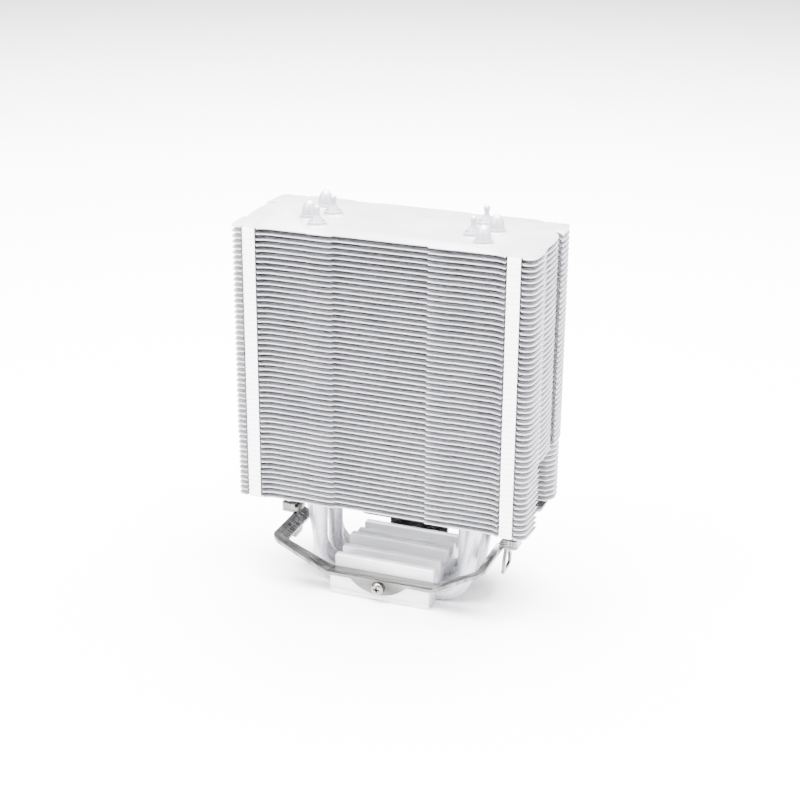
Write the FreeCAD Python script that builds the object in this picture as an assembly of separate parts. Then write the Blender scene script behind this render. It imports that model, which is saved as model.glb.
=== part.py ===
import FreeCAD, Part
import math
import os

# CPU tower cooler, millimetres.
# Origin at the middle of the contact face, +Z up, fin stack wide along X, air flows along Y.

V = FreeCAD.Vector

# ---- driving dimensions ------------------------------------------------------------------

# fin stack
FIN_COUNT = 52
FIN_PITCH = 2.157
FIN_THICKNESS = 0.4
FIN_BOTTOM_Z = 37.6
NOTCHED_FINS = 12
COLLAR_WALL = 0.3
COLLAR_HEIGHT = 1.7
TOP_COLLAR_WALL = 0.5
TOP_COLLAR_HEIGHT = 1.6
TOP_COLLAR_FLARE = 0.6

# fin outline, right half
CENTRE_STEP_X = 18.4
BAND_STEP_X = 28.3
STEP_RUN = 0.8
CURVE_START_X = 44.5
FRONT_CENTRE_Y = -22.8
FRONT_BAND_Y = -24.1
FRONT_SIDE_Y = -23.75
FRONT_WING_Y = -25.3
REAR_CENTRE_Y = 25.4
REAR_BAND_Y = 24.5
REAR_SIDE_Y = 25.7
REAR_WING_Y = 24.3
STRIP_INNER_X = 49.3
STRIP_OUTER_X = 54.3
STRIP_RELIEF = 0.7
STRIP_RELIEF_DEPTH = 1.3
STRIP_GAP = 0.02
WING_FRONT_X = 59.3
WING_REAR_X = 58.6
WING_FRONT_RADIUS = 3.4
WING_REAR_RADIUS = 2.4
WING_BULGE_X = 60.2
FRONT_SLIT_MOUTH = (59.8, -11.0)
FRONT_SLIT_TIP = (56.5, -12.3)
FRONT_SLIT_INNER = (59.3, -9.7)
MIDDLE_BULGE = (59.8, -2.0)
REAR_SLIT_INNER = (59.4, 5.9)
REAR_SLIT_TIP = (55.9, 12.6)
REAR_SLIT_LIP = (60.1, 8.7)
REAR_SLIT_INNER_BOW = (58.2, 9.2)
REAR_SLIT_OUTER_BOW = (58.9, 10.6)
FRONT_WING_BOW = (60.15, -17.5)
REAR_WING_BOW = (60.2, 16.0)
NOTCH_INNER_X = 44.5
NOTCH_FRONT_Y = -11.5
NOTCH_REAR_Y = 12.3
NOTCH_CORNER = (56.5, 12.3)
NOTCH_CORNER_MIDDLE = (58.7, 14.9)
NOTCH_CORNER_END = (60.1, 19.5)
NOTCH_ROUND = 3.0

# heat pipes
PIPE_RADIUS = 3.0
PIPE_WALL = 0.4
PIPE_FLAT_WALL = 0.4
WICK_THICKNESS = 0.5
WICK_GAP = 0.02
PIPE_ROWS_Y = (-12.0, -4.0, 4.0, 12.0)
PIPE_AXIS_Z = 2.5
OUTER_LEG_X = 36.0
INNER_LEG_X = 29.5
BEND_START_X = 20.6
OUTER_BEND_RADIUS = 12.3
OUTER_LEAN_DEG = 9.5
STRAIGHTEN_RADIUS = 20.0
PIPE_HOLE_GAP = 0.02
DOME_HEIGHT = 5.3
FILL_START_DEPTH = 1.5
CONE_HEIGHT = 4.0
NECK_RADIUS = 1.0
NECK_HEIGHT = 0.9
BEAD_RADIUS = 1.3

# base
BASE_HALF_X = 20.8
BASE_HALF_Y = 23.0
SEAM_Z = 1.8
SEAM_DEPTH = 0.15
SEAM_HEIGHT = 0.2
LEDGE_Z = 8.2
GROOVE_FLOOR_Z = 10.5
RIDGE_PITCH = 8.0
RIDGE_WIDTH = 3.0
RIDGE_TOPS_Z = (14.2, 14.2, 16.1, 14.2, 14.2)
EDGE_CHAMFER = 0.3

# brackets
SHEET = 1.2
BAR_HALF_X = 22.5
BAR_OUTER_Y = 24.2
BAR_INNER_Y = 17.9
ARM_SLOPE_DEG = 31.0
CORNER_X = 44.4
CORNER_Y = 27.1
CORNER_INNER_X = 39.7
CORNER_INNER_Y = 22.1
CORNER_FLAT_X = 40.6
CORNER_RADIUS = 3.2
TAB_HALF_CHORD = 12.7
TAB_DROP = 6.4
REAR_BAR_Z = 16.0
PAD_INNER_X = 46.5
PAD_OUTER_X = 55.2
PAD_FRONT_Y = 12.0
PAD_ROUND = 1.8
PAD_Z = 32.6
PAD_BEND_X = 47.0
EAR_HALF_Y = 4.0
EAR_INNER_X = 43.2
EAR_OUTER_X = 50.4
EAR_Z = 23.4
EAR_HOLE_RADIUS = 1.75
EAR_ROUND = 1.5
BRACKET_SCREW_Z = 6.1
BRACKET_SCREW_RADIUS = 1.5
BRACKET_SCREW_HEAD_RADIUS = 2.65
BRACKET_SCREW_HEAD_HEIGHT = 1.9
BRACKET_SCREW_LENGTH = 5.0
BRACKET_HOLE_GAP = 0.2

# hooks and tension screws
HOOK_INNER_X = 44.8
HOOK_OUTER_X = 50.4
HOOK_TOP_Z = 23.3
HOOK_BOTTOM_Z = 10.7
HOOK_LOOP_HALF_Y = 4.9
HOOK_NECK_HALF_Y = 2.5
HOOK_NECK_Z = 21.6
HOOK_SHOULDER_Z = 17.0
HOOK_SLOT_HALF_Y = 3.1
HOOK_SLOT_Z = (12.6, 19.5)
HOOK_KINK_Z = 13.4
HOOK_KINK_INWARD = 0.9
HOOK_CORNER = 1.6
SCREW_X = 47.7
SCREW_RADIUS = 1.5
THREAD_GAP = 0.05
SCREW_TIP_Z = 20.3
SCREW_TIP_ROUND = 1.2
SCREW_HEAD_RADIUS = 2.7
SCREW_HEAD_HEIGHT = 2.0


# ---- helpers -----------------------------------------------------------------------------

def box(x0, x1, y0, y1, z0, z1):
    return Part.makeBox(x1 - x0, y1 - y0, z1 - z0, V(x0, y0, z0))


def upright(radius, z0, z1, x, y):
    return Part.makeCylinder(radius, z1 - z0, V(x, y, z0), V(0, 0, 1))


def prism(points, z0, z1):
    """Extrude a closed polygon of (x, y) points from z0 to z1."""
    wire = Part.makePolygon([V(x, y, z0) for x, y in points + points[:1]])
    return Part.Face(wire).extrude(V(0, 0, z1 - z0))


def side_prism(points, y0, y1):
    """Extrude a closed polygon of (x, z) points from y0 to y1."""
    wire = Part.makePolygon([V(x, y0, z) for x, z in points + points[:1]])
    return Part.Face(wire).extrude(V(0, y1 - y0, 0))


def mirror_x(shape):
    return shape.mirror(V(0, 0, 0), V(1, 0, 0))


def save(name, shapes):
    shape = shapes[0] if len(shapes) == 1 else Part.makeCompound(shapes)
    if not shape.isValid():
        raise ValueError(name + " is not valid")
    shape.exportStep("parts/" + name + ".step")
    print("%-22s solids %d  volume %.1f" % (name, len(shape.Solids), shape.Volume))


def fillet_vertical(shape, x, y, radius):
    """Round the upright edges that stand at (x, y)."""
    edges = []
    for edge in shape.Edges:
        a = edge.Vertexes[0].Point
        b = edge.Vertexes[-1].Point
        upright_edge = abs(a.x - b.x) < 1e-6 and abs(a.y - b.y) < 1e-6 and abs(a.z - b.z) > 1e-3
        if upright_edge and abs(a.x - x) < 1e-3 and abs(a.y - y) < 1e-3:
            edges.append(edge)
    return shape.makeFillet(radius, edges)


# ---- heat pipes --------------------------------------------------------------------------

def fin_z(index):
    return FIN_BOTTOM_Z + index * FIN_PITCH


TOP_FACE_Z = fin_z(FIN_COUNT - 1) + FIN_THICKNESS
RIM_Z = TOP_FACE_Z + TOP_COLLAR_HEIGHT
FILL_START_Z = RIM_Z - FILL_START_DEPTH


def arc_point(start_x, start_z, radius, degrees):
    """Point on an arc that leaves (start_x, start_z) level and curls upwards."""
    angle = math.radians(degrees)
    return (start_x + radius * math.sin(angle), start_z + radius * (1 - math.cos(angle)))


def inner_leg():
    """One quarter turn straight up: (start, middle, end)."""
    radius = INNER_LEG_X - BEND_START_X
    return [[arc_point(BEND_START_X, PIPE_AXIS_Z, radius, a) for a in (0, 45, 90)]]


def outer_leg():
    """A turn that stops short of upright, a leaning run, and a gentle arc back to upright."""
    turn = 90.0 - OUTER_LEAN_DEG
    first = [arc_point(BEND_START_X, PIPE_AXIS_Z, OUTER_BEND_RADIUS, a) for a in (0, turn / 2, turn)]
    lean = math.radians(OUTER_LEAN_DEG)
    low_x = OUTER_LEG_X - STRAIGHTEN_RADIUS * (1 - math.cos(lean))
    low_z = first[2][1] + (low_x - first[2][0]) / math.tan(lean)
    second = []
    for left_over in (lean, lean / 2, 0.0):
        x = OUTER_LEG_X - STRAIGHTEN_RADIUS * (1 - math.cos(left_over))
        z = low_z + STRAIGHTEN_RADIUS * (math.sin(lean) - math.sin(left_over))
        second.append((x, z))
    return [first, second]


def leg_edges(row_y, side, outer, top_z):
    """Centre line of half a pipe, from the middle of the base to the leg's top."""
    edges = []
    here = V(0, row_y, PIPE_AXIS_Z)
    for arc in outer_leg() if outer else inner_leg():
        a, b, c = [V(side * x, row_y, z) for x, z in arc]
        edges.append(Part.LineSegment(here, a).toShape())
        edges.append(Part.Arc(a, b, c).toShape())
        here = c
    edges.append(Part.LineSegment(here, V(here.x, row_y, top_z)).toShape())
    return edges


def rod(row_y, right_outer, radius, below_top, low_z):
    """Solid rod along a pipe's centre line, ending below_top under its tips and cut flat at low_z."""
    dome_side = 1 if right_outer else -1
    fill_leg = leg_edges(row_y, -dome_side, False, FILL_START_Z - below_top)
    dome_leg = leg_edges(row_y, dome_side, True, RIM_Z - below_top)
    path = Part.Wire(fill_leg[::-1] + dome_leg)
    start = V(-dome_side * INNER_LEG_X, row_y, FILL_START_Z - below_top)
    full = path.makePipe(Part.Face(Part.Wire(Part.makeCircle(radius, start, V(0, 0, 1)))))
    return full.common(box(-60, 60, -30, 30, low_z, RIM_Z + 1))


def revolve_up(points, x, y):
    """Revolve a closed (r, z) outline about the upright axis at (x, y)."""
    wire = Part.makePolygon([V(x + r, y, z) for r, z in points + points[:1]])
    return Part.Face(wire).revolve(V(x, y, 0), V(0, 0, 1), 360)


def dome_tip(x, y, z):
    """Bullet-shaped closed end, half an ellipse of revolution."""
    steps = 9
    points = [(0.0, z)]
    for i in range(steps):
        angle = math.radians(90.0 * i / steps)
        points.append((PIPE_RADIUS * math.cos(angle), z + DOME_HEIGHT * math.sin(angle)))
    points.append((0.0, z + DOME_HEIGHT))
    return revolve_up(points, x, y)


def fill_tip(x, y, z):
    """Swaged fill end: a cone, a short neck and a sealed bead."""
    neck_z = z + CONE_HEIGHT
    bead_z = neck_z + NECK_HEIGHT + BEAD_RADIUS
    outline = [(0, z), (PIPE_RADIUS, z), (NECK_RADIUS, neck_z), (NECK_RADIUS, bead_z), (0, bead_z)]
    return revolve_up(outline, x, y).fuse(Part.makeSphere(BEAD_RADIUS, V(x, y, bead_z)))


def heat_pipe(row_y, right_outer):
    """Sealed copper shell, and the wick tube inside it."""
    dome_x = OUTER_LEG_X if right_outer else -OUTER_LEG_X
    fill_x = -INNER_LEG_X if right_outer else INNER_LEG_X
    solid = rod(row_y, right_outer, PIPE_RADIUS, 0.0, 0.0)
    solid = solid.fuse([dome_tip(dome_x, row_y, RIM_Z), fill_tip(fill_x, row_y, FILL_START_Z)])
    cavity_radius = PIPE_RADIUS - PIPE_WALL
    shell = solid.cut(rod(row_y, right_outer, cavity_radius, PIPE_WALL, PIPE_FLAT_WALL)).removeSplitter()
    wick_down = PIPE_WALL + WICK_GAP
    wick_low = PIPE_FLAT_WALL + WICK_GAP
    wick = rod(row_y, right_outer, cavity_radius - WICK_GAP, wick_down, wick_low)
    vapour_radius = cavity_radius - WICK_GAP - WICK_THICKNESS
    wick = wick.cut(rod(row_y, right_outer, vapour_radius, wick_down, wick_low + WICK_THICKNESS))
    return shell, wick


# ---- fins --------------------------------------------------------------------------------

def line_edges(points):
    edges = []
    for a, b in zip(points, points[1:]):
        edges.append(Part.LineSegment(V(a[0], a[1], 0), V(b[0], b[1], 0)).toShape())
    return edges


def arc_edge(a, b, c):
    return Part.Arc(V(a[0], a[1], 0), V(b[0], b[1], 0), V(c[0], c[1], 0)).toShape()


def long_edge(centre_y, band_y, side_y, wing_y):
    """A long edge of the fin from its middle to the folded strip, stepped in three levels."""
    return [(0.0, centre_y), (CENTRE_STEP_X, centre_y), (CENTRE_STEP_X + STEP_RUN, band_y),
            (BAND_STEP_X, band_y), (BAND_STEP_X + STEP_RUN, side_y), (CURVE_START_X, side_y),
            (CURVE_START_X + 2.4, side_y + 0.35 * (wing_y - side_y)), (STRIP_INNER_X - STRIP_RELIEF, wing_y)]


def half_fin(slits):
    """Right half of a fin; slits adds the two wire slits that set off the middle of its side."""
    front = long_edge(FRONT_CENTRE_Y, FRONT_BAND_Y, FRONT_SIDE_Y, FRONT_WING_Y)
    front.append((WING_FRONT_X, FRONT_WING_Y))
    rear = long_edge(REAR_CENTRE_Y, REAR_BAND_Y, REAR_SIDE_Y, REAR_WING_Y)
    rear.append((WING_REAR_X, REAR_WING_Y))
    edges = line_edges(front)
    if slits:
        edges.append(arc_edge(front[-1], FRONT_WING_BOW, FRONT_SLIT_MOUTH))
        edges += line_edges([FRONT_SLIT_MOUTH, FRONT_SLIT_TIP, FRONT_SLIT_INNER])
        edges.append(arc_edge(FRONT_SLIT_INNER, MIDDLE_BULGE, REAR_SLIT_INNER))
        edges.append(arc_edge(REAR_SLIT_INNER, REAR_SLIT_INNER_BOW, REAR_SLIT_TIP))
        edges.append(arc_edge(REAR_SLIT_TIP, REAR_SLIT_OUTER_BOW, REAR_SLIT_LIP))
        edges.append(arc_edge(REAR_SLIT_LIP, REAR_WING_BOW, rear[-1]))
    else:
        edges.append(arc_edge(front[-1], (WING_BULGE_X, 0.0), rear[-1]))
    edges += line_edges(rear[::-1] + [front[0]])
    half = Part.Face(Part.Wire(edges)).extrude(V(0, 0, FIN_THICKNESS))
    half = fillet_vertical(half, WING_FRONT_X, FRONT_WING_Y, WING_FRONT_RADIUS)
    return fillet_vertical(half, WING_REAR_X, REAR_WING_Y, WING_REAR_RADIUS)


def side_notch():
    """Room for a screwdriver beside the tension screw, on the right side."""
    out_x = WING_BULGE_X + 2.0
    edges = line_edges([(out_x, NOTCH_FRONT_Y), (NOTCH_INNER_X, NOTCH_FRONT_Y),
                        (NOTCH_INNER_X, NOTCH_REAR_Y), NOTCH_CORNER])
    edges.append(arc_edge(NOTCH_CORNER, NOTCH_CORNER_MIDDLE, NOTCH_CORNER_END))
    edges += line_edges([NOTCH_CORNER_END, (out_x, NOTCH_CORNER_END[1]), (out_x, NOTCH_FRONT_Y)])
    cutter = Part.Face(Part.Wire(edges)).extrude(V(0, 0, FIN_THICKNESS))
    for y in (NOTCH_FRONT_Y, NOTCH_REAR_Y):
        cutter = fillet_vertical(cutter, NOTCH_INNER_X, y, NOTCH_ROUND)
    return cutter


def pipe_holes():
    """The (x, y) of the eight pipe legs in the fins."""
    places = []
    for row, y in enumerate(PIPE_ROWS_Y):
        right_outer = row % 2 == 0
        places.append((OUTER_LEG_X if right_outer else INNER_LEG_X, y))
        places.append((-INNER_LEG_X if right_outer else -OUTER_LEG_X, y))
    return places


def strip_reliefs(edge_y, inward):
    """The two narrow cuts beside a folded strip on the right side."""
    y0, y1 = sorted((edge_y - inward, edge_y + inward * STRIP_RELIEF_DEPTH))
    inner = box(STRIP_INNER_X - STRIP_RELIEF, STRIP_INNER_X, y0, y1, -1, 1)
    outer = box(STRIP_OUTER_X, STRIP_OUTER_X + STRIP_RELIEF, y0, y1, -1, 1)
    return [inner, outer]


def strip_tab(edge_y, inward):
    """Tab folded down from the fin's edge to just over the next fin."""
    y0, y1 = sorted((edge_y, edge_y + inward * FIN_THICKNESS))
    return box(STRIP_INNER_X, STRIP_OUTER_X, y0, y1, FIN_THICKNESS + STRIP_GAP - FIN_PITCH, FIN_THICKNESS)


def collar(x, y, top):
    """Collar drawn up round a pipe; the top fin's is thicker, with a flared foot."""
    wall = TOP_COLLAR_WALL if top else COLLAR_WALL
    height = FIN_THICKNESS + (TOP_COLLAR_HEIGHT if top else COLLAR_HEIGHT)
    outer = PIPE_RADIUS + PIPE_HOLE_GAP + wall
    ring = upright(outer, 0, height, x, y)
    if not top:
        return ring
    foot = Part.makeCone(outer + TOP_COLLAR_FLARE, outer, TOP_COLLAR_FLARE, V(x, y, FIN_THICKNESS), V(0, 0, 1))
    return ring.fuse(foot)


def make_fin(notched=False, top=False, tabs=True):
    """One fin with its underside at z = 0."""
    half = half_fin(not notched)
    cutters = []
    if notched:
        cutters.append(side_notch())
    for edge_y, inward in ((FRONT_WING_Y, 1), (REAR_WING_Y, -1)):
        cutters += strip_reliefs(edge_y, inward)
    half = half.cut(cutters)
    if tabs:
        half = half.fuse([strip_tab(FRONT_WING_Y, 1), strip_tab(REAR_WING_Y, -1)])
    plate = half.fuse(mirror_x(half)).removeSplitter()
    hole = PIPE_RADIUS + PIPE_HOLE_GAP
    collars = [collar(x, y, top) for x, y in pipe_holes()]
    bores = [upright(hole, -1, FIN_PITCH * 2, x, y) for x, y in pipe_holes()]
    return plate.fuse(collars).cut(bores).removeSplitter()


def at_height(fin, index):
    copy = fin.copy()
    copy.translate(V(0, 0, fin_z(index)))
    return copy


# ---- base --------------------------------------------------------------------------------

def seam_groove():
    """Shallow line milled round the block, a little above its foot."""
    around = box(-BASE_HALF_X - 1, BASE_HALF_X + 1, -BASE_HALF_Y - 1, BASE_HALF_Y + 1,
                 SEAM_Z, SEAM_Z + SEAM_HEIGHT)
    inside = box(-BASE_HALF_X + SEAM_DEPTH, BASE_HALF_X - SEAM_DEPTH, -BASE_HALF_Y + SEAM_DEPTH,
                 BASE_HALF_Y - SEAM_DEPTH, 0, LEDGE_Z)
    return around.cut(inside)


def ridge(y, top):
    bar = box(-BASE_HALF_X, BASE_HALF_X, y - RIDGE_WIDTH / 2, y + RIDGE_WIDTH / 2, LEDGE_Z, top)
    crests = [e for e in bar.Edges if e.BoundBox.ZMin > top - 1e-6]
    return bar.makeChamfer(EDGE_CHAMFER, crests)


def pipe_channel(y):
    """Channel open at the bottom of the block, round over the pipe."""
    radius = PIPE_RADIUS + PIPE_HOLE_GAP
    return Part.makeCylinder(radius, 60, V(-30, y, PIPE_AXIS_Z), V(1, 0, 0))


def make_base_block():
    low = box(-BASE_HALF_X, BASE_HALF_X, -BASE_HALF_Y, BASE_HALF_Y, 0, LEDGE_Z)
    half = 2 * RIDGE_PITCH + RIDGE_WIDTH / 2
    high = box(-BASE_HALF_X, BASE_HALF_X, -half, half, LEDGE_Z, GROOVE_FLOOR_Z)
    ridges = [ridge((i - 2) * RIDGE_PITCH, top) for i, top in enumerate(RIDGE_TOPS_Z)]
    block = low.fuse([high] + ridges).removeSplitter()
    cutters = [pipe_channel(y) for y in PIPE_ROWS_Y] + [seam_groove()]
    for sign in (1, -1):
        cutters.append(Part.makeCylinder(BRACKET_SCREW_RADIUS + THREAD_GAP, BRACKET_SCREW_LENGTH,
                                         V(0, sign * (BASE_HALF_Y + 1.0), BRACKET_SCREW_Z), V(0, -sign, 0)))
    return block.cut(cutters)


# ---- brackets ----------------------------------------------------------------------------

def sheet_profile(points):
    """Close an open (across, height) line into a sheet of even thickness above it."""
    angles = []
    for a, b in zip(points, points[1:]):
        angles.append(math.atan2(b[1] - a[1], b[0] - a[0]))
    upper = []
    for i, (across, height) in enumerate(points):
        before = angles[max(i - 1, 0)]
        after = angles[min(i, len(angles) - 1)]
        normal = (before + after) / 2 + math.pi / 2
        reach = SHEET / math.cos((after - before) / 2)
        upper.append((across + reach * math.cos(normal), height + reach * math.sin(normal)))
    return points + upper[::-1]


def across_sheet(points, x0, x1):
    """Sheet whose (y, z) line is given, running from x0 to x1."""
    closed = sheet_profile(points)
    wire = Part.makePolygon([V(x0, y, z) for y, z in closed + closed[:1]])
    return Part.Face(wire).extrude(V(x1 - x0, 0, 0))


def screw_tab(side, top_z):
    """Segment-shaped tab with the screw hole, hanging from the bar's outer edge."""
    top_of_bar = LEDGE_Z + SHEET
    radius = (TAB_HALF_CHORD ** 2 + TAB_DROP ** 2) / (2 * TAB_DROP)
    y0, y1 = sorted((side * BAR_OUTER_Y, side * (BAR_OUTER_Y - SHEET)))
    disc = Part.makeCylinder(radius, SHEET, V(0, y0, top_of_bar - TAB_DROP + radius), V(0, 1, 0))
    tab = disc.common(box(-TAB_HALF_CHORD, TAB_HALF_CHORD, y0, y1, 0, top_of_bar))
    if top_z > top_of_bar:
        tab = tab.fuse(box(-TAB_HALF_CHORD, TAB_HALF_CHORD, y0, y1, LEDGE_Z, top_z))
    return tab


def bracket_screw_hole(side):
    start = V(0, side * (BAR_OUTER_Y + 2), BRACKET_SCREW_Z)
    return Part.makeCylinder(BRACKET_SCREW_RADIUS + BRACKET_HOLE_GAP, 4, start, V(0, -side, 0))


def ear(z, inner_x):
    """Level ear with rounded outer corners and the tension screw's hole, on the right side."""
    plate = box(inner_x, EAR_OUTER_X, -EAR_HALF_Y, EAR_HALF_Y, z, z + SHEET)
    for y in (-EAR_HALF_Y, EAR_HALF_Y):
        plate = fillet_vertical(plate, EAR_OUTER_X, y, EAR_ROUND)
    return plate.cut(upright(EAR_HOLE_RADIUS, z - 1, z + SHEET + 1, SCREW_X, 0))


def make_front_bracket():
    reach = CORNER_X + 1 - BAR_HALF_X
    rise = reach * math.tan(math.radians(ARM_SLOPE_DEG))
    line = [(-CORNER_X - 1, LEDGE_Z + rise), (-BAR_HALF_X, LEDGE_Z),
            (BAR_HALF_X, LEDGE_Z), (CORNER_X + 1, LEDGE_Z + rise)]
    sheet = side_prism(sheet_profile(line), -CORNER_Y, EAR_HALF_Y)
    outer = [(CORNER_X, EAR_HALF_Y), (CORNER_X, -CORNER_Y), (CORNER_FLAT_X, -CORNER_Y),
             (BAR_HALF_X, -BAR_OUTER_Y)]
    inner = [(CORNER_INNER_X, EAR_HALF_Y), (CORNER_INNER_X, -CORNER_INNER_Y), (BAR_HALF_X, -BAR_INNER_Y)]
    half = outer + [(0, -BAR_OUTER_Y), (0, -BAR_INNER_Y)] + inner[::-1]
    plan = prism(half, 0, 60)
    plan = fillet_vertical(plan, CORNER_X, -CORNER_Y, CORNER_RADIUS)
    plan = fillet_vertical(plan, CORNER_INNER_X, -CORNER_INNER_Y, CORNER_RADIUS / 2)
    side = sheet.common(plan)
    riser_z = LEDGE_Z + (EAR_INNER_X - BAR_HALF_X) * math.tan(math.radians(ARM_SLOPE_DEG)) + SHEET / 2
    riser = box(EAR_INNER_X, CORNER_X, -EAR_HALF_Y, EAR_HALF_Y, riser_z, EAR_Z + SHEET)
    side = side.fuse([riser, ear(EAR_Z, EAR_INNER_X)])
    whole = side.fuse([mirror_x(side), screw_tab(-1, LEDGE_Z)])
    return whole.cut(bracket_screw_hole(-1)).removeSplitter()


def make_rear_bracket():
    line = [(0, REAR_BAR_Z), (BAR_HALF_X, REAR_BAR_Z), (PAD_BEND_X, PAD_Z), (PAD_OUTER_X + 1, PAD_Z)]
    arm_plan = prism([(0, BAR_INNER_Y), (BAR_HALF_X, BAR_INNER_Y), (PAD_BEND_X - 3, CORNER_INNER_Y - 1),
                      (PAD_INNER_X, CORNER_INNER_Y - 1), (PAD_INNER_X, PAD_FRONT_Y), (PAD_OUTER_X, PAD_FRONT_Y),
                      (PAD_OUTER_X, CORNER_Y), (PAD_BEND_X - 3, CORNER_Y), (BAR_HALF_X, BAR_OUTER_Y),
                      (0, BAR_OUTER_Y)], 0, 60)
    arm_plan = fillet_vertical(arm_plan, PAD_OUTER_X, CORNER_Y, CORNER_RADIUS)
    arm_plan = fillet_vertical(arm_plan, PAD_OUTER_X, PAD_FRONT_Y, PAD_ROUND)
    arm = side_prism(sheet_profile(line), 0, CORNER_Y + 1).common(arm_plan)
    ear_z = EAR_Z + SHEET
    turn_y = EAR_HALF_Y
    slope = [(0, ear_z), (turn_y, ear_z), (PAD_FRONT_Y, PAD_Z), (PAD_FRONT_Y + 3, PAD_Z)]
    strip_plan = prism([(CORNER_X, 0), (EAR_OUTER_X, 0), (EAR_OUTER_X, PAD_FRONT_Y + 2),
                        (PAD_INNER_X, PAD_FRONT_Y + 2), (PAD_INNER_X, PAD_FRONT_Y), (CORNER_X, turn_y)], 0, 60)
    strip = across_sheet(slope, 30, 70).common(strip_plan)
    lug = box(CORNER_X, EAR_OUTER_X, -EAR_HALF_Y, 0, ear_z, ear_z + SHEET)
    lug = fillet_vertical(lug, EAR_OUTER_X, -EAR_HALF_Y, EAR_ROUND)
    side = arm.fuse([strip, lug]).cut(upright(EAR_HOLE_RADIUS, ear_z - 1, ear_z + 3, SCREW_X, 0))
    whole = side.fuse([mirror_x(side), screw_tab(1, REAR_BAR_Z + SHEET)])
    return whole.cut(bracket_screw_hole(1)).removeSplitter()


# ---- screws and hooks --------------------------------------------------------------------

def cross_recess(depth, width, reach):
    """Tapered cross recess that opens upwards at z = 0."""
    arms = []
    for dx, dy in ((reach, width), (width, reach)):
        low = Part.makePolygon([V(-dx * 0.55, -dy * 0.5, -depth), V(dx * 0.55, -dy * 0.5, -depth),
                                V(dx * 0.55, dy * 0.5, -depth), V(-dx * 0.55, dy * 0.5, -depth),
                                V(-dx * 0.55, -dy * 0.5, -depth)])
        high = Part.makePolygon([V(-dx, -dy, 0.5), V(dx, -dy, 0.5), V(dx, dy, 0.5), V(-dx, dy, 0.5),
                                 V(-dx, -dy, 0.5)])
        arms.append(Part.makeLoft([low, high], True))
    return arms[0].fuse(arms[1])


def pan_screw(head_radius, head_height, shank_radius, shank_length, tip_round):
    """Screw standing on its shank: head above z = 0, shank below with a rounded tip."""
    head = Part.makeCylinder(head_radius, head_height)
    rim = [e for e in head.Edges if e.BoundBox.ZMin > head_height - 1e-6]
    head = head.makeFillet(head_height * 0.7, rim)
    shank = Part.makeCylinder(shank_radius, shank_length, V(0, 0, -shank_length))
    low = [e for e in shank.Edges if e.BoundBox.ZMax < -shank_length + 1e-6]
    shank = shank.makeFillet(tip_round, low)
    recess = cross_recess(head_height * 0.75, head_radius * 0.16, head_radius * 0.58)
    recess.translate(V(0, 0, head_height))
    return head.fuse(shank).cut(recess)


def make_bracket_screws():
    screws = []
    for sign in (1, -1):
        screw = pan_screw(BRACKET_SCREW_HEAD_RADIUS, BRACKET_SCREW_HEAD_HEIGHT, BRACKET_SCREW_RADIUS,
                          BRACKET_SCREW_LENGTH, 0.4)
        screw.rotate(V(0, 0, 0), V(1, 0, 0), -90 * sign)
        screw.translate(V(0, sign * BAR_OUTER_Y, BRACKET_SCREW_Z))
        screws.append(screw)
    return screws


def make_tension_screw():
    """Right-hand tension screw, its head resting on the two ears."""
    head_z = EAR_Z + 2 * SHEET
    screw = pan_screw(SCREW_HEAD_RADIUS, SCREW_HEAD_HEIGHT, SCREW_RADIUS, head_z - SCREW_TIP_Z, SCREW_TIP_ROUND)
    screw.translate(V(SCREW_X, 0, head_z))
    return screw


def plate_face(points):
    """Blank of a hook plate, from its (y, z) outline."""
    wire = Part.makePolygon([V(30, y, z) for y, z in points + points[:1]])
    return Part.Face(wire).extrude(V(30, 0, 0))


def both_sides(half):
    """Close a (y, z) line for y > 0, given from the bottom up, with its mirror image."""
    return half + [(-y, z) for y, z in half[::-1]]


def make_hook():
    """Right-hand hook: a slotted plate whose top is bent out under the ears."""
    loop = both_sides([(HOOK_LOOP_HALF_Y - HOOK_CORNER, HOOK_BOTTOM_Z),
                       (HOOK_LOOP_HALF_Y, HOOK_BOTTOM_Z + HOOK_CORNER), (HOOK_LOOP_HALF_Y, HOOK_SHOULDER_Z),
                       (HOOK_NECK_HALF_Y, HOOK_NECK_Z), (HOOK_NECK_HALF_Y, HOOK_TOP_Z)])
    low, high = HOOK_SLOT_Z
    slot = both_sides([(HOOK_SLOT_HALF_Y - 1, low), (HOOK_SLOT_HALF_Y, low + 1.2),
                       (HOOK_SLOT_HALF_Y, high - 3.0), (1.0, high)])
    blank = plate_face(loop).cut(plate_face(slot))
    inner = HOOK_INNER_X
    outer = HOOK_INNER_X + SHEET
    profile = [(inner - HOOK_KINK_INWARD, HOOK_BOTTOM_Z - 1), (inner, HOOK_KINK_Z), (inner, HOOK_TOP_Z + 1),
               (outer, HOOK_TOP_Z + 1), (outer, HOOK_KINK_Z), (outer - HOOK_KINK_INWARD, HOOK_BOTTOM_Z - 1)]
    plate = blank.common(side_prism(profile, -10, 10))
    tab = box(inner, HOOK_OUTER_X, -EAR_HALF_Y, EAR_HALF_Y, HOOK_TOP_Z - SHEET, HOOK_TOP_Z)
    for y in (-EAR_HALF_Y, EAR_HALF_Y):
        tab = fillet_vertical(tab, HOOK_OUTER_X, y, EAR_ROUND)
    hole = upright(SCREW_RADIUS + THREAD_GAP, HOOK_TOP_Z - 3, HOOK_TOP_Z + 1, SCREW_X, 0)
    return plate.fuse(tab).cut(hole).removeSplitter()


# ---- build -------------------------------------------------------------------------------

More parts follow.
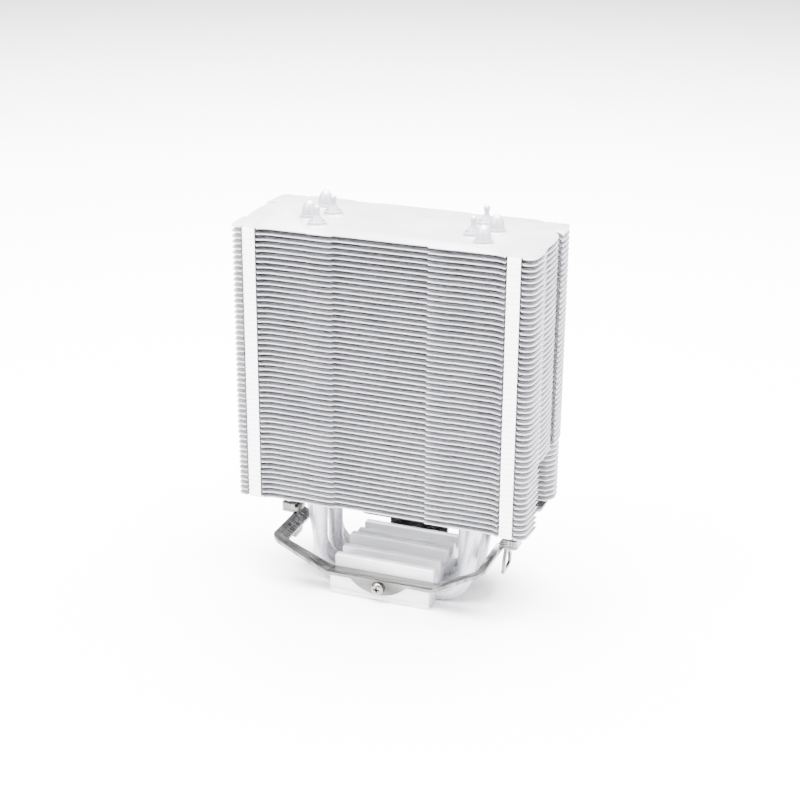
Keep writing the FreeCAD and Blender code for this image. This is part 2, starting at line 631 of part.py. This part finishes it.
def save_fins():
    """Cut-out fins in pairs, one full fin over the cut-out, full fins in pairs, the top fin alone."""
    lowest = make_fin(notched=True, tabs=False)
    notched = make_fin(notched=True)
    full = make_fin()
    for pair in range(NOTCHED_FINS // 2):
        lower = at_height(notched if pair else lowest, 2 * pair)
        save("notched_fins_%02d" % (pair + 1), [lower, at_height(notched, 2 * pair + 1)])
    save("fin_over_notch", [at_height(full, NOTCHED_FINS)])
    first = NOTCHED_FINS + 1
    for pair in range((FIN_COUNT - 1 - first) // 2):
        index = first + 2 * pair
        save("fins_%02d" % (pair + 1), [at_height(full, index), at_height(full, index + 1)])
    save("top_fin", [at_height(make_fin(top=True), FIN_COUNT - 1)])


def main():
    os.makedirs("parts", exist_ok=True)
    save("base_block", [make_base_block()])
    for row, y in enumerate(PIPE_ROWS_Y):
        shell, wick = heat_pipe(y, row % 2 == 0)
        save("heat_pipe_%d" % (row + 1), [shell])
        save("pipe_wick_%d" % (row + 1), [wick])
    save_fins()
    save("front_bracket", [make_front_bracket()])
    save("rear_bracket", [make_rear_bracket()])
    save("bracket_screws", make_bracket_screws())
    hook = make_hook()
    save("right_hook", [hook])
    save("left_hook", [mirror_x(hook)])
    screw = make_tension_screw()
    save("right_tension_screw", [screw])
    save("left_tension_screw", [mirror_x(screw)])


main()
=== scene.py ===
import math

import bmesh
import bpy
from mathutils import Matrix, Vector


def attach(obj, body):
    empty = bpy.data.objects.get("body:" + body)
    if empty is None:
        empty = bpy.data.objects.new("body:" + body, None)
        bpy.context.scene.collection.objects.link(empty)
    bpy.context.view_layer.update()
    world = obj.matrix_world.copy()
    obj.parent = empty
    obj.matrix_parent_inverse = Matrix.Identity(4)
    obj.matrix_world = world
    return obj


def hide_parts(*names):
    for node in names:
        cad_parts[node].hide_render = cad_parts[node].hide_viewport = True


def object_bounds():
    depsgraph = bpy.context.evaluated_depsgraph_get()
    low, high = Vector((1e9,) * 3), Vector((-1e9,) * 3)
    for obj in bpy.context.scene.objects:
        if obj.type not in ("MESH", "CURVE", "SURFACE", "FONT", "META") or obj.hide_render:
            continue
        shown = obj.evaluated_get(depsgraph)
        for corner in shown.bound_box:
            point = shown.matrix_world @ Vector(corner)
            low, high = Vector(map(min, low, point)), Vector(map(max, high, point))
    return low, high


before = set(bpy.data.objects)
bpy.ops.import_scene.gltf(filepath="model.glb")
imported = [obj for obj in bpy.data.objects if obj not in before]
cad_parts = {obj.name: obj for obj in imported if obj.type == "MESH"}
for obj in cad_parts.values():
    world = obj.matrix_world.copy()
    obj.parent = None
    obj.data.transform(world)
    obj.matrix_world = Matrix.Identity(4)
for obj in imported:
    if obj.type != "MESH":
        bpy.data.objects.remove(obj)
cad_low, cad_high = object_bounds()

MM = 0.001

# ---- sizes, in millimetres ---------------------------------------------------------------

FIN_BEVEL = 0.09
BASE_BEVEL = 0.22
SHEET_BEVEL = 0.16
SCREW_BEVEL = 0.10
HOOK_BEVEL = 0.28
BEVEL_ANGLE = 38.0
BEVEL_SEGMENTS = 2

# the bends of the bracket sheet, rolled to this radius
BEND_RADIUS = 1.3
BEND_ANGLES = (12.0, 50.0)
BEND_MIN_LENGTH = 2.5
BEND_SEGMENTS = 4

# the fins' folded strips, whose outer faces are painted lighter as painted light: their span in |x|, and
# the least |y| of their outer faces
STRIP_X = (49.3, 54.3)
STRIP_Y = 24.0
STRIP_FACING = 0.9

# streaks of the bracket sheet, and the |x| where they turn from X to Y
STREAK_SCALE = 2200.0
STREAK_STRETCH = 0.03
EAR_STREAK_X = (42.0, 44.0)

WELD_DISTANCE = 1e-6
FLAT_ANGLE = 0.4

# ---- surfaces ----------------------------------------------------------------------------

# scales are per metre; relief is in millimetres
LEVEL = (1.0, 1.0, 1.0)
BRUSHED_X = (0.02, 1.0, 1.0)

SURFACES = {
    # the fin and strip colours are one aluminium in a shaded and a lit copy: the fin colour is darkened as
    # painted shade for the gaps between the fins, and the strip colour is lightened as painted light on
    # the strips' outer faces
    "fin": dict(name="fin_aluminium_painted_shade", dark=(0.32, 0.32, 0.34), light=(0.38, 0.38, 0.40), metallic=0.30,
                rough=(0.34, 0.46), cloud_scale=60.0, grain_scale=2500.0, stretch=LEVEL,
                relief=0.01, strength=0.15),
    "strip": dict(name="strip_aluminium", dark=(0.80, 0.80, 0.82), light=(0.88, 0.88, 0.90), metallic=0.10,
                  rough=(0.40, 0.52), cloud_scale=90.0, grain_scale=2500.0, stretch=LEVEL,
                  relief=0.01, strength=0.15),
    "pipe": dict(name="pipe_plating", dark=(0.36, 0.36, 0.39), light=(0.42, 0.42, 0.45), metallic=0.25,
                 rough=(0.26, 0.30), cloud_scale=90.0, grain_scale=1800.0, stretch=LEVEL,
                 relief=0.004, strength=0.08),
    "wick": dict(name="sintered_wick", dark=(0.55, 0.27, 0.16), light=(0.70, 0.38, 0.24), metallic=0.9,
                 rough=(0.55, 0.75), cloud_scale=400.0, grain_scale=6000.0, stretch=LEVEL,
                 relief=0.05, strength=0.6),
    "base": dict(name="base_aluminium", dark=(0.54, 0.54, 0.57), light=(0.66, 0.66, 0.68), metallic=0.20,
                 rough=(0.22, 0.46), cloud_scale=80.0, grain_scale=3500.0, stretch=BRUSHED_X,
                 relief=0.03, strength=0.6),
    "hook": dict(name="zinc_sheet", dark=(0.09, 0.09, 0.093), light=(0.16, 0.16, 0.16), metallic=0.9,
                 rough=(0.24, 0.36), cloud_scale=200.0, grain_scale=4000.0, stretch=LEVEL,
                 relief=0.01, strength=0.25),
    "screw": dict(name="plated_screw", dark=(0.12, 0.115, 0.11), light=(0.30, 0.29, 0.28), metallic=1.0,
                  rough=(0.10, 0.20), cloud_scale=300.0, grain_scale=5000.0, stretch=LEVEL,
                  relief=0.01, strength=0.2),
    "floor": dict(name="pale_floor", dark=(0.93, 0.93, 0.94), light=(0.95, 0.95, 0.96), metallic=0.0,
                  rough=(0.7, 0.8), cloud_scale=3.0, grain_scale=200.0, stretch=LEVEL,
                  relief=0.01, strength=0.05),
}
CLOUD_DETAIL = 3.0
GRAIN_DETAIL = 4.0
NOISE_LOW = 0.3
NOISE_HIGH = 0.7

SHEET_DARK = (0.055, 0.053, 0.051)
SHEET_LIGHT = (0.20, 0.195, 0.19)
SHEET_RAMP = (0.34, 0.70)
SHEET_ROUGH = (0.16, 0.30)
SHEET_METALLIC = 0.88
SHEET_RELIEF = 0.006
SHEET_RELIEF_STRENGTH = 0.3

# ---- camera, light and floor, in metres --------------------------------------------------

CAMERA_AZIMUTH = 20.41
CAMERA_ELEVATION = 21.82
CAMERA_ROLL = 0.42
CAMERA_DISTANCE = 0.66628
CAMERA_TARGET = Vector((0.00013, -0.001, 0.07737))
CAMERA_LENS = 76.79
SENSOR_WIDTH = 36.0
CLIP = (0.01, 20.0)

SKY_COLOUR = (0.97, 0.975, 1.0, 1.0)
SKY_STRENGTH = 0.55

# name, place, side of the square, power in watts
LIGHTS = (
    ("key", (-0.55, -0.75, 0.75), 0.9, 32.0),
    ("fill", (0.8, -0.45, 0.35), 0.9, 14.0),
    ("top", (0.0, 0.1, 1.0), 1.3, 250.0),
)

FLOOR_HALF = 3.0
FLOOR_CELLS = 8
FLOOR_GAP = 0.0002


# ---- materials ---------------------------------------------------------------------------

def new_material(name):
    material = bpy.data.materials.new(name)
    material.use_nodes = True
    nodes = material.node_tree.nodes
    nodes.clear()
    output = nodes.new("ShaderNodeOutputMaterial")
    shader = nodes.new("ShaderNodeBsdfPrincipled")
    material.node_tree.links.new(shader.outputs["BSDF"], output.inputs["Surface"])
    return material, shader


def noise(material, scale, detail, stretch=LEVEL):
    """Noise in object space, its scale per metre, stretched along the axes."""
    nodes = material.node_tree.nodes
    links = material.node_tree.links
    place = nodes.new("ShaderNodeTexCoord")
    mapping = nodes.new("ShaderNodeMapping")
    mapping.inputs["Scale"].default_value = stretch
    texture = nodes.new("ShaderNodeTexNoise")
    texture.inputs["Scale"].default_value = scale
    texture.inputs["Detail"].default_value = detail
    links.new(place.outputs["Object"], mapping.inputs["Vector"])
    links.new(mapping.outputs["Vector"], texture.inputs["Vector"])
    return texture.outputs["Fac"]


def ramp(material, factor, dark, light, low=NOISE_LOW, high=NOISE_HIGH):
    """Colour between dark and light as the factor goes from low to high."""
    node = material.node_tree.nodes.new("ShaderNodeValToRGB")
    node.color_ramp.elements[0].position = low
    node.color_ramp.elements[1].position = high
    node.color_ramp.elements[0].color = (*dark, 1.0)
    node.color_ramp.elements[1].color = (*light, 1.0)
    material.node_tree.links.new(factor, node.inputs["Fac"])
    return node.outputs["Color"]


def spread(material, factor, low, high):
    """Number between low and high as the noise goes through its usual range."""
    node = material.node_tree.nodes.new("ShaderNodeMapRange")
    node.inputs["From Min"].default_value = NOISE_LOW
    node.inputs["From Max"].default_value = NOISE_HIGH
    node.inputs["To Min"].default_value = low
    node.inputs["To Max"].default_value = high
    material.node_tree.links.new(factor, node.inputs["Value"])
    return node.outputs["Result"]


def bump(material, shader, factor, height_mm, strength):
    node = material.node_tree.nodes.new("ShaderNodeBump")
    node.inputs["Distance"].default_value = height_mm * MM
    node.inputs["Strength"].default_value = strength
    material.node_tree.links.new(factor, node.inputs["Height"])
    material.node_tree.links.new(node.outputs["Normal"], shader.inputs["Normal"])


def make_surface(name, dark, light, metallic, rough, cloud_scale, grain_scale, stretch,
                 relief, strength):
    """Material with slow colour clouds and a finer grain that drives roughness and relief."""
    material, shader = new_material(name)
    links = material.node_tree.links
    clouds = noise(material, cloud_scale, CLOUD_DETAIL)
    grain = noise(material, grain_scale, GRAIN_DETAIL, stretch)
    links.new(ramp(material, clouds, dark, light), shader.inputs["Base Color"])
    links.new(spread(material, grain, *rough), shader.inputs["Roughness"])
    shader.inputs["Metallic"].default_value = metallic
    bump(material, shader, grain, relief, strength)
    return material


def ear_mask(material):
    """0 on the brackets' bars and arms, 1 on the strips that run along Y to the ears."""
    nodes = material.node_tree.nodes
    links = material.node_tree.links
    place = nodes.new("ShaderNodeTexCoord")
    split = nodes.new("ShaderNodeSeparateXYZ")
    links.new(place.outputs["Object"], split.inputs["Vector"])
    width = nodes.new("ShaderNodeMath")
    width.operation = "ABSOLUTE"
    links.new(split.outputs["X"], width.inputs[0])
    mask = nodes.new("ShaderNodeMapRange")
    mask.inputs["From Min"].default_value = EAR_STREAK_X[0] * MM
    mask.inputs["From Max"].default_value = EAR_STREAK_X[1] * MM
    links.new(width.outputs["Value"], mask.inputs["Value"])
    return mask.outputs["Result"]


def make_sheet():
    """Polished sheet with fine streaks along the strips: along Y near the ears, along X elsewhere."""
    material, shader = new_material("polished_sheet")
    links = material.node_tree.links
    along_x = noise(material, STREAK_SCALE, CLOUD_DETAIL, (STREAK_STRETCH, 1.0, STREAK_STRETCH))
    along_y = noise(material, STREAK_SCALE, CLOUD_DETAIL, (1.0, STREAK_STRETCH, STREAK_STRETCH))
    mix = material.node_tree.nodes.new("ShaderNodeMix")
    mix.data_type = "FLOAT"
    links.new(ear_mask(material), mix.inputs["Factor"])
    links.new(along_x, mix.inputs["A"])
    links.new(along_y, mix.inputs["B"])
    streaks = mix.outputs["Result"]
    colour = ramp(material, streaks, SHEET_DARK, SHEET_LIGHT, *SHEET_RAMP)
    links.new(colour, shader.inputs["Base Color"])
    links.new(spread(material, streaks, *SHEET_ROUGH), shader.inputs["Roughness"])
    shader.inputs["Metallic"].default_value = SHEET_METALLIC
    bump(material, shader, streaks, SHEET_RELIEF, SHEET_RELIEF_STRENGTH)
    return material


def make_materials():
    materials = {slot: make_surface(**surface) for slot, surface in SURFACES.items()}
    materials["bracket"] = make_sheet()
    return materials


# ---- mesh helpers ------------------------------------------------------------------------

def welded_mesh(node, flatten):
    """The CAD node's mesh as one welded bmesh; flatten joins its level triangles into whole faces."""
    bm = bmesh.new()
    bm.from_mesh(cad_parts[node].data)
    bmesh.ops.remove_doubles(bm, verts=bm.verts, dist=WELD_DISTANCE)
    if flatten:
        angle = math.radians(FLAT_ANGLE)
        bmesh.ops.dissolve_limit(bm, angle_limit=angle, verts=bm.verts, edges=bm.edges)
    return bm


def finish_piece(bm, node, body, slot, bevel_mm):
    """Smooth-shaded piece with rounded edges that stands for the CAD node it was made from."""
    for face in bm.faces:
        face.smooth = True
    name = node + "_piece"
    mesh = bpy.data.meshes.new(name)
    bm.to_mesh(mesh)
    bm.free()
    piece = bpy.data.objects.new(name, mesh)
    bpy.context.scene.collection.objects.link(piece)
    mesh.materials.append(MATERIALS[slot])
    if bevel_mm:
        bevel = piece.modifiers.new("rounded_edges", "BEVEL")
        bevel.width = bevel_mm * MM
        bevel.segments = BEVEL_SEGMENTS
        bevel.limit_method = "ANGLE"
        bevel.angle_limit = math.radians(BEVEL_ANGLE)
        bevel.harden_normals = True
    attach(piece, body)
    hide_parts(node)
    return piece


def refine(node, body, slot, bevel_mm):
    return finish_piece(welded_mesh(node, True), node, body, slot, bevel_mm)


def round_bends(bm):
    """Roll the sheet's bends: the longer edges whose faces meet at a shallow angle."""
    bends = []
    for edge in bm.edges:
        if len(edge.link_faces) == 2:
            angle = math.degrees(edge.calc_face_angle(0.0))
            long_enough = edge.calc_length() > BEND_MIN_LENGTH * MM
            if BEND_ANGLES[0] < angle < BEND_ANGLES[1] and long_enough:
                bends.append(edge)
    bmesh.ops.bevel(bm, geom=bends, offset=BEND_RADIUS * MM, segments=BEND_SEGMENTS,
                    profile=0.5, affect="EDGES")


# ---- pieces ------------------------------------------------------------------------------

def mark_strips(bm):
    """Give the folded strips' outer faces the second material: a lighter copy of the fin aluminium,
    painted light on the faces that face out.
    """
    bm.normal_update()
    for face in bm.faces:
        centre = face.calc_center_median() / MM
        in_span = STRIP_X[0] < abs(centre.x) < STRIP_X[1]
        if in_span and abs(centre.y) > STRIP_Y and abs(face.normal.y) > STRIP_FACING:
            face.material_index = 1


def make_fins():
    for node in sorted(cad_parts):
        if "fin" in node:
            bm = welded_mesh(node, True)
            mark_strips(bm)
            piece = finish_piece(bm, node, "cooler", "fin", FIN_BEVEL)
            # the second material is the lighter copy of the fin aluminium: painted light on the strips'
            # outer faces
            piece.data.materials.append(MATERIALS["strip"])


def make_pipes():
    for node in sorted(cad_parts):
        if node.startswith("heat_pipe"):
            finish_piece(welded_mesh(node, False), node, "cooler", "pipe", 0.0)
        if node.startswith("pipe_wick"):
            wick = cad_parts[node]
            wick.data.materials.clear()
            wick.data.materials.append(MATERIALS["wick"])


def make_brackets():
    for node in ("front_bracket", "rear_bracket"):
        bm = welded_mesh(node, True)
        round_bends(bm)
        finish_piece(bm, node, "cooler", "bracket", SHEET_BEVEL)


def make_fastenings():
    refine("bracket_screws", "cooler", "screw", SCREW_BEVEL)
    for side in ("left", "right"):
        refine(side + "_tension_screw", side + "_screw", "screw", SCREW_BEVEL)
        refine(side + "_hook", side + "_clip", "hook", HOOK_BEVEL)


# ---- camera, light and floor -------------------------------------------------------------

def make_camera():
    azimuth = math.radians(CAMERA_AZIMUTH)
    elevation = math.radians(CAMERA_ELEVATION)
    roll = math.radians(CAMERA_ROLL)
    back = Vector((math.sin(azimuth) * math.cos(elevation), -math.cos(azimuth) * math.cos(elevation),
                   math.sin(elevation)))
    level = Vector((math.cos(azimuth), math.sin(azimuth), 0.0))
    upright = back.cross(level)
    right = math.cos(roll) * level + math.sin(roll) * upright
    up = math.cos(roll) * upright - math.sin(roll) * level
    data = bpy.data.cameras.new("camera")
    data.lens = CAMERA_LENS
    data.sensor_width = SENSOR_WIDTH
    data.clip_start, data.clip_end = CLIP
    camera = bpy.data.objects.new("camera", data)
    bpy.context.scene.collection.objects.link(camera)
    rotation = Matrix((right, up, back)).transposed().to_4x4()
    camera.matrix_world = Matrix.Translation(CAMERA_TARGET + back * CAMERA_DISTANCE) @ rotation
    bpy.context.scene.camera = camera


def area_light(name, place, size, power, aim):
    data = bpy.data.lights.new(name, "AREA")
    data.shape = "SQUARE"
    data.size = size
    data.energy = power
    light = bpy.data.objects.new(name, data)
    light.location = place
    light.rotation_mode = "QUATERNION"
    light.rotation_quaternion = (aim - Vector(place)).to_track_quat("-Z", "Y")
    bpy.context.scene.collection.objects.link(light)


def make_studio():
    world = bpy.data.worlds.new("studio")
    world.use_nodes = True
    background = world.node_tree.nodes["Background"]
    background.inputs["Color"].default_value = SKY_COLOUR
    background.inputs["Strength"].default_value = SKY_STRENGTH
    bpy.context.scene.world = world
    middle = (cad_low + cad_high) / 2
    for name, place, size, power in LIGHTS:
        area_light(name, place, size, power, middle)


def make_floor():
    bm = bmesh.new()
    bmesh.ops.create_grid(bm, x_segments=FLOOR_CELLS, y_segments=FLOOR_CELLS, size=FLOOR_HALF)
    mesh = bpy.data.meshes.new("floor")
    bm.to_mesh(mesh)
    bm.free()
    floor = bpy.data.objects.new("floor", mesh)
    floor.location.z = cad_low.z - FLOOR_GAP
    bpy.context.scene.collection.objects.link(floor)
    mesh.materials.append(MATERIALS["floor"])


MATERIALS = make_materials()
make_fins()
make_pipes()
refine("base_block", "cooler", "base", BASE_BEVEL)
make_brackets()
make_fastenings()
make_camera()
make_studio()
make_floor()
